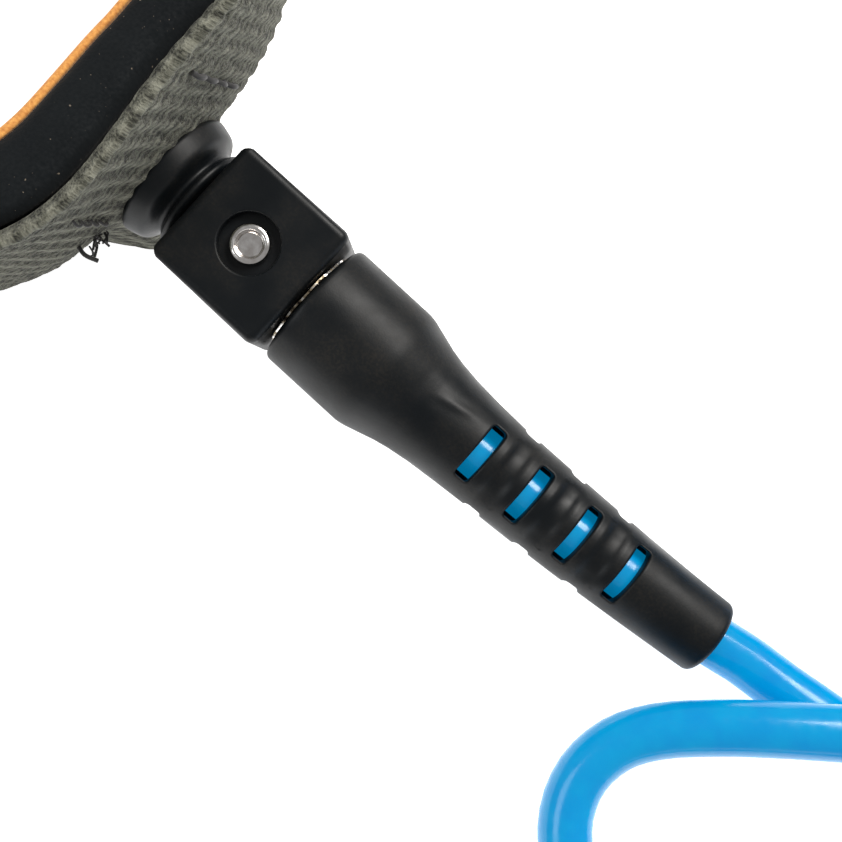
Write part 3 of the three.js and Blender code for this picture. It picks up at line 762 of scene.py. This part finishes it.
BLOCK_LONG, BLOCK_HALF, BLOCK_EDGE = 8.75, 9.2, 1.25  # half length, half width and the edges' rounding
HORN_CORNER, CORNER_X, CORNER_Y = 2.25, -6.5, 6.95  # radius and centre of the rounder corners at the horn
RECESS_RADIUS, RECESS_FLOOR, RECESS_RIM = 3.95, 7.6, 0.3
STUD_BORE, CLEAR = 2.8, 12  # the last is past every face of the block


def block_piece(name, matrix):
    half = (BLOCK_LONG, BLOCK_HALF, BLOCK_HALF)
    points, faces = rounded_box([-value for value in half], half, BLOCK_EDGE)
    pulled = []
    for x, y, z in points:
        if x < 0 and abs(y) > 7.0:
            # the corners next to the horn are rounder, seen from the pin's side
            dx, dy = max(0.0, CORNER_X - x), max(0.0, abs(y) - CORNER_Y)
            length = math.hypot(dx, dy)
            if length > HORN_CORNER:
                x = CORNER_X - dx / length * HORN_CORNER
                y = math.copysign(CORNER_Y + dy / length * HORN_CORNER, y)
        pulled.append((x, y, z))
    block = add_mesh(name, pulled, faces, RUBBER, matrix)
    upright = Matrix.Rotation(-math.pi / 2, 4, "Y")
    cutters = []
    for start, end, radius, sides, turn in (
        (RECESS_FLOOR, CLEAR, RECESS_RADIUS, 64, upright),
        (-CLEAR, -RECESS_FLOOR, RECESS_RADIUS, 64, upright),
        (6.0, CLEAR, STUD_BORE, 48, Matrix.Identity(4)),
    ):
        cutter_points, cutter_faces = lathe([(start, 0), (start, radius), (end, radius), (end, 0)], sides)
        cutters.append(add_mesh("cutter", cutter_points, cutter_faces, RUBBER, matrix @ turn))
    slot_points, slot_faces = rounded_box((-CLEAR, -5.2, -3.3), (2.0, 5.2, 3.3), 0.4, 3)
    cutters.append(add_mesh("cutter", slot_points, slot_faces, RUBBER, matrix))
    subtract(block, *cutters)
    work = bmesh.new()
    work.from_mesh(block.data)
    inverse = matrix.inverted()

    def on_rim(vertex):
        local = (inverse @ vertex.co) / MM
        on_face = abs(abs(local.z) - BLOCK_HALF) < 0.02
        return on_face and abs(math.hypot(local.x, local.y) - RECESS_RADIUS) < 0.03

    rim = [edge for edge in work.edges if all(on_rim(vertex) for vertex in edge.verts)]
    bmesh.ops.bevel(work, geom=rim, offset=RECESS_RIM * MM, segments=3, affect="EDGES", profile=0.5)
    work.to_mesh(block.data)
    work.free()
    block.data.shade_smooth()
    block.data.set_sharp_from_angle(angle=math.radians(40))
    weighted = block.modifiers.new("normals", "WEIGHTED_NORMAL")
    weighted.keep_sharp = True
    weighted.weight = 80
    return block


def swivel(prefix, matrix, angle):
    cuff_side = prefix == "cuff"
    block_body = prefix + "_swivel_block"
    finish(horn_piece(prefix + "_horn_looks", matrix), prefix, "rubber", prefix + "_horn")
    finish(block_piece(prefix + "_block_looks", matrix), block_body, "rubber", prefix + "_block")
    finish(pin_piece(prefix + "_pin_looks", matrix), block_body, "steel", prefix + "_pin")
    finish(washer_piece(prefix + "_washer_looks", matrix), block_body, "steel", prefix + "_washer")
    finish(boot_piece(prefix + "_boot_looks", matrix, angle, cuff_side), "root", "rubber", prefix + "_boot")
    for node, material in ((prefix + "_stud", STEEL), (prefix + "_cord_end", CORD_END)):
        slots = frame["nodes"][node].data.materials
        slots.clear()
        slots.append(material)


swivel("cuff", CUFF_FRAME, CUFF_BEND)
swivel("tail", TAIL_FRAME, 0.0)


# ---- cuff band ----
FACE_X = -15.5 * math.cos(CUFF_SLOPE)
FACE_Z = PIN_HEIGHT + 15.5 * math.sin(CUFF_SLOPE)
BAND_DEEP, BAND_HALF, BAND_POWER = 68.0, 42.0, 2.55
BAND_TALL = 50.0
BAND_SLIT, SLIT_GAP = -8.0, 1.5
WEB_LOW, WEB_HIGH = 0.5, 49.5
OUTLINE_STEPS = 1440
RIM_RISE = 24.5  # height above the horn over which the rim's swing builds up
RIM_SWING, RIM_LOSS = 6.2, 7.4  # the rim's swing towards -Y, and how much less it is towards +Y
INNER_LOSS = 0.01  # how much less an inner layer's rim swings, for each mm of depth
FOLD, FOLD_ROUND = 0.35, 5  # slope of the fold under the horn, and how gently it begins
TUCK = 4.2  # how far the lower edge is drawn in towards -Y


def band_outline():
    """The webbing's outer line seen from above, clockwise from the slit, with the length along it."""
    middle_x = FACE_X - BAND_DEEP / 2
    loop = []
    for i in range(OUTLINE_STEPS):
        angle = math.pi - 2 * math.pi * i / OUTLINE_STEPS
        c, s = math.cos(angle), math.sin(angle)
        loop.append((middle_x + BAND_DEEP / 2 * math.copysign(abs(c) ** (2 / BAND_POWER), c),
                     BAND_HALF * math.copysign(abs(s) ** (2 / BAND_POWER), s)))
    last_quarter = range(OUTLINE_STEPS * 3 // 4, OUTLINE_STEPS)
    start = next(i for i in last_quarter if loop[i][1] > BAND_SLIT + SLIT_GAP / 2)
    stop = max(i for i in last_quarter if loop[i][1] < BAND_SLIT - SLIT_GAP / 2)
    line = np.array(loop[start:] + loop[:stop + 1])
    lengths = np.concatenate([[0], np.cumsum(np.linalg.norm(np.diff(line, axis=0), axis=1))])
    return line, lengths


BAND_LINE, BAND_LENGTHS = band_outline()
BAND_LENGTH = float(BAND_LENGTHS[-1])


def band_base(along):
    """Place and outward direction on the band's outer line; below zero it carries on past the slit."""
    def place(value):
        if value < 0:
            value += BAND_LENGTH + SLIT_GAP
            if value > BAND_LENGTH:
                share = (value - BAND_LENGTH) / SLIT_GAP
                return BAND_LINE[-1] * (1 - share) + BAND_LINE[0] * share
        return np.array([np.interp(value, BAND_LENGTHS, BAND_LINE[:, k]) for k in (0, 1)])

    reach = 0.8
    before = place(along - reach if along > reach or along < 0 else 0.0)
    after = place(min(BAND_LENGTH, along + reach))
    tangent = (after - before) / np.linalg.norm(after - before)
    return place(along), np.array([-tangent[1], tangent[0]])


def stand_out(foot, height, depth):
    """How far the band stands out in X at a height, over a point of its outer line, at a depth behind it."""
    share = min(max((foot[0] - FACE_X + BAND_DEEP) / BAND_DEEP, 0), 1)
    rise = (max(height - FACE_Z, 0) / RIM_RISE) ** 1.5
    beside = smoothstep(abs(foot[1]), 3, 10)
    fold = FOLD * beside * (math.hypot(height - FACE_Z, FOLD_ROUND) - height + FACE_Z) / 2
    tuck = TUCK * smoothstep(-foot[1], 14, 32)
    rim = RIM_SWING - RIM_LOSS * smoothstep(foot[1], -30, 8)
    rim -= INNER_LOSS * depth * min(max(3 - foot[1], 0), 24)
    swing = rim * rise - tuck * (1 - rise) - fold
    return (height - FACE_Z) * math.tan(CUFF_SLOPE) * share + swing * share ** 2


def band_point(along, out, height):
    """A point of the band: along it, outwards from the webbing's face, and up."""
    foot, normal = band_base(along)
    x, y = foot + normal * out
    return x + stand_out(foot, height, max(0.0, -out - 2.2) * 1.2), y, height


def front_along(y):
    """Distance along the band of the point of its front that is at y."""
    front = BAND_LINE[:, 0] > FACE_X - BAND_DEEP / 2
    away = np.where(front, np.abs(BAND_LINE[:, 1] - y), 1e9)
    return float(BAND_LENGTHS[int(np.argmin(away))])


def section(inner, outer, low, high, rows, corner):
    """A rounded rectangle of (out, height) pairs, dense up the outer face."""
    points = []
    for i in range(rows + 1):
        points.append((outer, low + corner + (high - low - 2 * corner) * i / rows))
    for i in range(1, 5):
        t = math.pi / 2 * i / 4
        points.append((outer - corner * (1 - math.cos(t)), high - corner * (1 - math.sin(t))))
    points.append(((inner + outer) / 2, high))
    for i in range(0, 4):
        t = math.pi / 2 * i / 4
        points.append((inner + corner * (1 - math.sin(t)), high - corner * (1 - math.cos(t))))
    back = max(4, rows // 4)
    for i in range(back + 1):
        points.append((inner, high - corner - (high - low - 2 * corner) * i / back))
    for i in range(1, 5):
        t = math.pi / 2 * i / 4
        points.append((inner + corner * (1 - math.cos(t)), low + corner * (1 - math.sin(t))))
    points.append(((inner + outer) / 2, low))
    for i in range(0, 4):
        t = math.pi / 2 * i / 4
        points.append((outer - corner * (1 - math.sin(t)), low + corner * (1 - math.cos(t))))
    return points


def band_piece(name, inner, outer, start, end, low, high, material, step, rows, corner, relief=None):
    """A solid layer of the band. relief(along, out, height) moves a point of it in that same space."""
    corner = min(corner, (outer - inner) / 2 * 0.98)
    shape = section(inner, outer, low, high, rows, corner)
    count = max(2, round((end - start) / step))
    points, uv = [], []
    for i in range(count + 1):
        along = start + (end - start) * i / count
        for out, height in shape:
            place = relief(along, out, height) if relief else (along, out, height)
            points.append(band_point(*place))
            uv.append((along - WEAVE_SLANT * height, height + out))
    return add_mesh(name, points, swept_faces(count + 1, len(shape)), material, uv=uv, sharp=60)


FRONT_MIDDLE = front_along(0.0)


def webbing_relief(low, high, seed):
    """The yarn loops of the webbing's edges, its ribs, and the way it tents up round the horn's foot."""
    phase = 0.7 * seed

    def relief(along, out, height):
        to_edge = min(height - low, high - height)
        near_edge = 1 - smoothstep(to_edge, 0.3, 2.6)
        wander = 0.35 * math.sin(along * 0.31 + phase) + 0.25 * math.sin(along * 0.83)
        loop = abs(math.cos(math.pi * (along + wander) / LOOP_PITCH)) ** 0.8
        side = 1 if height > (low + high) / 2 else -1
        face = 1 if out > -1.1 else 0
        bead = 1 - smoothstep(abs(to_edge - 1.6), 0.2, 1.0)
        slant = along - WEAVE_SLANT * height
        rib = math.sin(2 * math.pi * (slant + 0.3 * math.sin(height * 0.9 + along * 0.2)) / RIB_PITCH)
        knot = math.sin(2 * math.pi * (height + 0.25 * math.sin(slant * 1.3)) / PICK_PITCH)
        out += face * (0.14 * near_edge * (loop - 0.5) - 0.30 * bead * (1 - loop))
        out += face * (0.17 * rib + 0.07 * rib * knot) * (1 - near_edge)
        away = math.hypot(along - FRONT_MIDDLE, (height - FACE_Z) / math.cos(CUFF_SLOPE))
        out += face * 0.6 * (1 - smoothstep(away, 8.0, 14.0))
        return along, out, height + side * near_edge * 0.42 * (loop - 0.6)
    return relief


def foam_relief(along, out, height):
    """A slightly uneven, crowned foam edge that dips towards the seam beside the webbing."""
    top = smoothstep(height, BAND_TALL - 3.0, BAND_TALL)
    seam = smoothstep(out, -4.6, -2.6)
    height -= top * (0.9 * seam + 0.10 * math.sin(along * 0.21) + 0.06 * math.sin(along * 0.6 + 1.0))
    return along, out, height


foam = band_piece("foam_pad", -9.9, -2.55, 0.0, BAND_LENGTH, 0.0, BAND_TALL, FOAM, 1.2, 36, 1.4, foam_relief)
finish(foam, "cuff", "foam", "cuff_foam")
lining = band_piece("cuff_lining_looks", -10.75, -9.75, 0.0, BAND_LENGTH, 0.3, BAND_TALL - 0.05, LINING,
                    1.2, 20, 0.45)
finish(lining, "cuff", "lining", "cuff_lining")
webbing = band_piece("cuff_webbing_looks", -2.2, 0.0, 0.0, BAND_LENGTH, WEB_LOW, WEB_HIGH, WEBBING,
                     0.4, 90, 0.95, webbing_relief(WEB_LOW, WEB_HIGH, 1))
finish(webbing, "cuff", "webbing", "cuff_webbing")
anchor = band_piece("cuff_strap_anchor_looks", 0.3, 2.3, -24, -3.6, WEB_LOW, WEB_HIGH, WEBBING, 0.45, 60, 0.9)
finish(anchor, "cuff", "webbing", "cuff_strap_anchor")
loops = band_piece("cuff_loop_patch_looks", 0.3, 1.3, 8, 58, 4, 46, NAP, 1.0, 24, 0.3)
finish(loops, "cuff", "hook_and_loop", "cuff_loop_patch")
hooks = band_piece("cuff_hook_patch_looks", 1.6, 2.6, 10, 56, 5, 45, NAP, 1.0, 24, 0.3)
finish(hooks, "cuff_strap", "hook_and_loop", "cuff_hook_patch")
strap = band_piece("cuff_strap_looks", 2.9, 4.9, -3, 62, WEB_LOW, WEB_HIGH, WEBBING, 0.45, 90, 0.9,
                   webbing_relief(WEB_LOW, WEB_HIGH, 2))
finish(strap, "cuff_strap", "webbing", "cuff_strap")


TAB_START, TAB_END, TAB_RIB = 62.3, 74, 2.4


def tab_relief(along, out, height):
    """Ribs for grip on both faces of the pull tab."""
    rib = 0.5 + 0.5 * math.cos(2 * math.pi * (along - TAB_START) / TAB_RIB)
    return along, out + (0.22 * rib if out > 3.9 else -0.22 * rib) - 0.1, height


tab = band_piece("cuff_pull_tab_looks", 2.6, 5.2, TAB_START, TAB_END, 12, 38, RUBBER,
                 0.3, 20, 0.7, tab_relief)
finish(tab, "cuff_strap", "rubber", "cuff_pull_tab")


# ---- thread ----
def thread_piece(name, line, thick):
    made = curve_piece(name, [placed(point) for point in smooth_curve(line, 5)], thick / 2, 3, THREAD)
    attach(made, "cuff")


draw = random.Random(7)


def bar_tack(name, start, end, count, thick):
    """A row of short stitches across the ribs, between two (y, height) points of the band's front."""
    for i in range(count):
        line = []
        for k in range(4):
            share = (i + 0.1 + 0.8 * k / 3) / count
            y = start[0] + (end[0] - start[0]) * share + draw.uniform(-0.15, 0.15)
            sunk = 0.1 if k in (0, 3) else 0.85
            line.append(band_point(front_along(y), sunk, start[1] + (end[1] - start[1]) * share))
        thread_piece(f"{name}_{i}", line, thick * draw.uniform(0.8, 1.15))


bar_tack("tack_far", (5.4, 45.2), (12.9, 30.5), 4, 0.7)
bar_tack("tack_near", (-15.9, 38.8), (-10.6, 26.4), 4, 0.42)
TUFTS = 12
for i in range(TUFTS):
    y, height = -11.6 + draw.uniform(-1.6, 1.2), 21.5 + draw.uniform(-3.2, 3.2)
    root = band_point(front_along(y), 0.7, height)
    reaches = ((0.2, 1.7), (-1.9, 1.3), (-1.6, 1.6))
    tip = [value + draw.uniform(*reach) for value, reach in zip(root, reaches)]
    bow = [(a + b) / 2 + draw.uniform(-0.6, 0.6) for a, b in zip(root, tip)]
    thread_piece(f"tuft_{i}", [root, bow, tip], draw.uniform(0.2, 0.42))
root = band_point(front_along(-15.0), 0.2, 23.0)
offsets = ((0, 0, 0), (1.2, -0.2, -0.4), (2.6, 0.5, -1.4))
thread_piece("loose_end", [[a + b for a, b in zip(root, offset)] for offset in offsets], 0.6)


# ---- tail ----
TAIL_FACE, TAIL_THICK, TAIL_HALF, TAIL_LEG = 15.8, 1.8, 12.5, 56.0
FOLD_TOP, CLOSED_TOP, TAIL_LOW, TAIL_GATHER = 22.4, 7.2, 0.2, 22.0


def tail_plane(behind, height):
    return TAIL_PIN.x - behind / math.cos(TAIL_SLOPE) + (height - TAIL_PIN.z) * math.tan(TAIL_SLOPE)


FOLD_AT = tail_plane(TAIL_FACE + TAIL_THICK, FOLD_TOP)


def strip_piece(name, line, half, thick, material, step=0.5, across=30):
    """A strap of the given thickness swept along a line of (x, z) pairs that runs under its middle."""
    line = [np.array(point, float) for point in line]
    lengths = np.concatenate([[0], np.cumsum([np.linalg.norm(b - a) for a, b in zip(line, line[1:])])])
    count = max(2, round(lengths[-1] / step))
    corner = thick / 2 * 0.9
    shape = [(v, h - thick / 2) for h, v in section(0, thick, -half, half, across, corner)]
    reach = 0.4

    def at(value):
        return np.array([np.interp(value, lengths, [p[k] for p in line]) for k in (0, 1)])

    points, uv = [], []
    for i in range(count + 1):
        value = lengths[-1] * i / count
        place, after, before = at(value), at(min(value + reach, lengths[-1])), at(max(value - reach, 0))
        tangent = (after - before) / np.linalg.norm(after - before)
        normal = np.array([tangent[1], -tangent[0]])
        for side, lift in shape:
            x, z = place + normal * lift
            points.append((x, TAIL_PIN.y + side, z))
            uv.append((value, side + lift))
    return add_mesh(name, points, swept_faces(count + 1, len(shape)), material, uv=uv, sharp=60)


def tail_flap_line():
    line = []
    for i in range(57):
        along = 0.5 + (TAIL_LEG - 0.5) * i / 56
        top = FOLD_TOP + (CLOSED_TOP - FOLD_TOP) * smoothstep(along, 0, TAIL_GATHER)
        line.append((FOLD_AT - along, top - TAIL_THICK / 2))
    return line


panel_middle = TAIL_FACE + TAIL_THICK / 2
foot_height = TAIL_LOW + TAIL_THICK / 2
lower_turn = rounded([
    (tail_plane(panel_middle, FOLD_TOP), FOLD_TOP), (tail_plane(panel_middle, foot_height), foot_height),
    (FOLD_AT - TAIL_LEG, foot_height),
], 2.2, 6)
tail_webbing = strip_piece("tail_webbing_looks", lower_turn, TAIL_HALF, TAIL_THICK, WEBBING)
finish(tail_webbing, "tail", "webbing", "tail_webbing")
flap = strip_piece("tail_flap_looks", tail_flap_line(), TAIL_HALF, TAIL_THICK, WEBBING)
finish(flap, "tail_flap", "webbing", "tail_flap")
for name, body, height in (("tail_loop_patch", "tail", 2.85), ("tail_hook_patch", "tail_flap", 4.25)):
    line = [(FOLD_AT - 24, height), (FOLD_AT - TAIL_LEG + 2, height)]
    piece = strip_piece(name + "_looks", line, TAIL_HALF - 1, 1.1, NAP, 1.0, 12)
    finish(piece, body, "hook_and_loop", name)
tab_line = [(FOLD_AT - TAIL_LEG - 0.3, 6.3), (FOLD_AT - TAIL_LEG - 9, 6.3)]
tail_tab = strip_piece("tail_pull_tab_looks", tab_line, 8, 2.4, RUBBER, 0.5, 12)
finish(tail_tab, "tail_flap", "rubber", "tail_pull_tab")


# ---- tie round the coil ----
TIE_ANGLE, TIE_WIDE, TIE_THICK = math.radians(200), 14.0, 0.9


def tie_piece():
    half_across, half_up, corner = 8.6, 7.85, 3.2
    middle_radius, middle_height = (COIL_OUTER + COIL_INNER) / 2, (COIL_LOW + COIL_HIGH) / 2
    outline = []
    for k, (cx, cz) in enumerate(((1, 1), (-1, 1), (-1, -1), (1, -1))):
        for i in range(7):
            angle = math.pi / 2 * (k + i / 6)
            outline.append((cx * (half_across - corner) + corner * math.cos(angle),
                            cz * (half_up - corner) + corner * math.sin(angle)))
    points, uv = [], []
    steps = 14
    for j in range(steps + 1):
        t = TIE_WIDE * (j / steps - 0.5)
        edge = 1 - smoothstep(TIE_WIDE / 2 - abs(t), 0, 0.8)
        for lift in (1, 0):
            for k, (across, high) in enumerate(outline):
                grow = TIE_THICK * (lift - 0.5 * edge * (2 * lift - 1))
                length = math.hypot(across, high)
                radial = middle_radius + across + grow * across / length
                x = radial * math.cos(TIE_ANGLE) - t * math.sin(TIE_ANGLE)
                y = radial * math.sin(TIE_ANGLE) + t * math.cos(TIE_ANGLE)
                z = middle_height + high + grow * high / length
                points.append((COIL_CENTRE[0] + x, COIL_CENTRE[1] + y, z))
                uv.append((k, t))
    ring = len(outline)
    faces = []
    for j in range(steps):
        for lift in (0, 1):
            base, above = (2 * j + lift) * ring, (2 * j + 2 + lift) * ring
            for k in range(ring):
                n = (k + 1) % ring
                quad = (base + k, base + n, above + n, above + k)
                faces.append(quad if lift == 0 else quad[::-1])
    for j in (0, steps):
        for k in range(ring):
            n = (k + 1) % ring
            quad = (2 * j * ring + k, (2 * j + 1) * ring + k, (2 * j + 1) * ring + n, 2 * j * ring + n)
            faces.append(quad if j == 0 else quad[::-1])
    return add_mesh("coil_tie_looks", points, faces, NAP, uv=uv, sharp=60)


tie = finish(tie_piece(), "root", "hook_and_loop", "coil_tie")

tail_pieces = [tie]
tail_pieces += [o for o in bpy.data.objects if o.name.startswith("tail_") and o.name.endswith("_looks")]


# ---- stage ----
FLOOR_HALF, FLOOR_DROP, FLOOR_GLOW = 3.0, 0.0002, 0.95
WORLD_STRENGTH = 0.32


def floor_piece():
    shader = Shader("floor", Base_Color=(0.93, 0.93, 0.935, 1), Roughness=0.7, Specular_IOR_Level=0.2)
    shader.surface.inputs["Emission Color"].default_value = (1, 1, 1, 1)
    shader.surface.inputs["Emission Strength"].default_value = FLOOR_GLOW
    mesh = bpy.data.meshes.new("floor")
    corners = [(x * FLOOR_HALF, y * FLOOR_HALF, 0) for x, y in ((-1, -1), (1, -1), (1, 1), (-1, 1))]
    mesh.from_pydata(corners, [], [(0, 1, 2, 3)])
    mesh.materials.append(shader.material)
    made = bpy.data.objects.new("floor", mesh)
    made.location.z = -FLOOR_DROP
    bpy.context.scene.collection.objects.link(made)


def softbox(name, direction, distance, size, power, colour):
    data = bpy.data.lights.new(name, "AREA")
    data.shape = "RECTANGLE"
    data.size, data.size_y = size
    data.energy = power
    data.color = colour
    made = bpy.data.objects.new(name, data)
    aim = CUFF_PIN
    made.location = aim + Vector(direction).normalized() * distance
    made.rotation_euler = (aim - made.location).to_track_quat("-Z", "Y").to_euler()
    bpy.context.scene.collection.objects.link(made)


floor_piece()
softbox("key", (0.25, 0.75, 1.0), 0.9, (0.5, 0.35), 9.0, (1.0, 0.97, 0.93))
softbox("fill", (-0.6, -0.8, 0.9), 1.1, (0.6, 0.4), 3.0, (0.93, 0.97, 1.0))
world = bpy.data.worlds.new("studio")
world.use_nodes = True
world.node_tree.nodes["Background"].inputs["Color"].default_value = (1, 1, 1, 1)
world.node_tree.nodes["Background"].inputs["Strength"].default_value = WORLD_STRENGTH
bpy.context.scene.world = world
bpy.context.scene.view_settings.view_transform = "Standard"
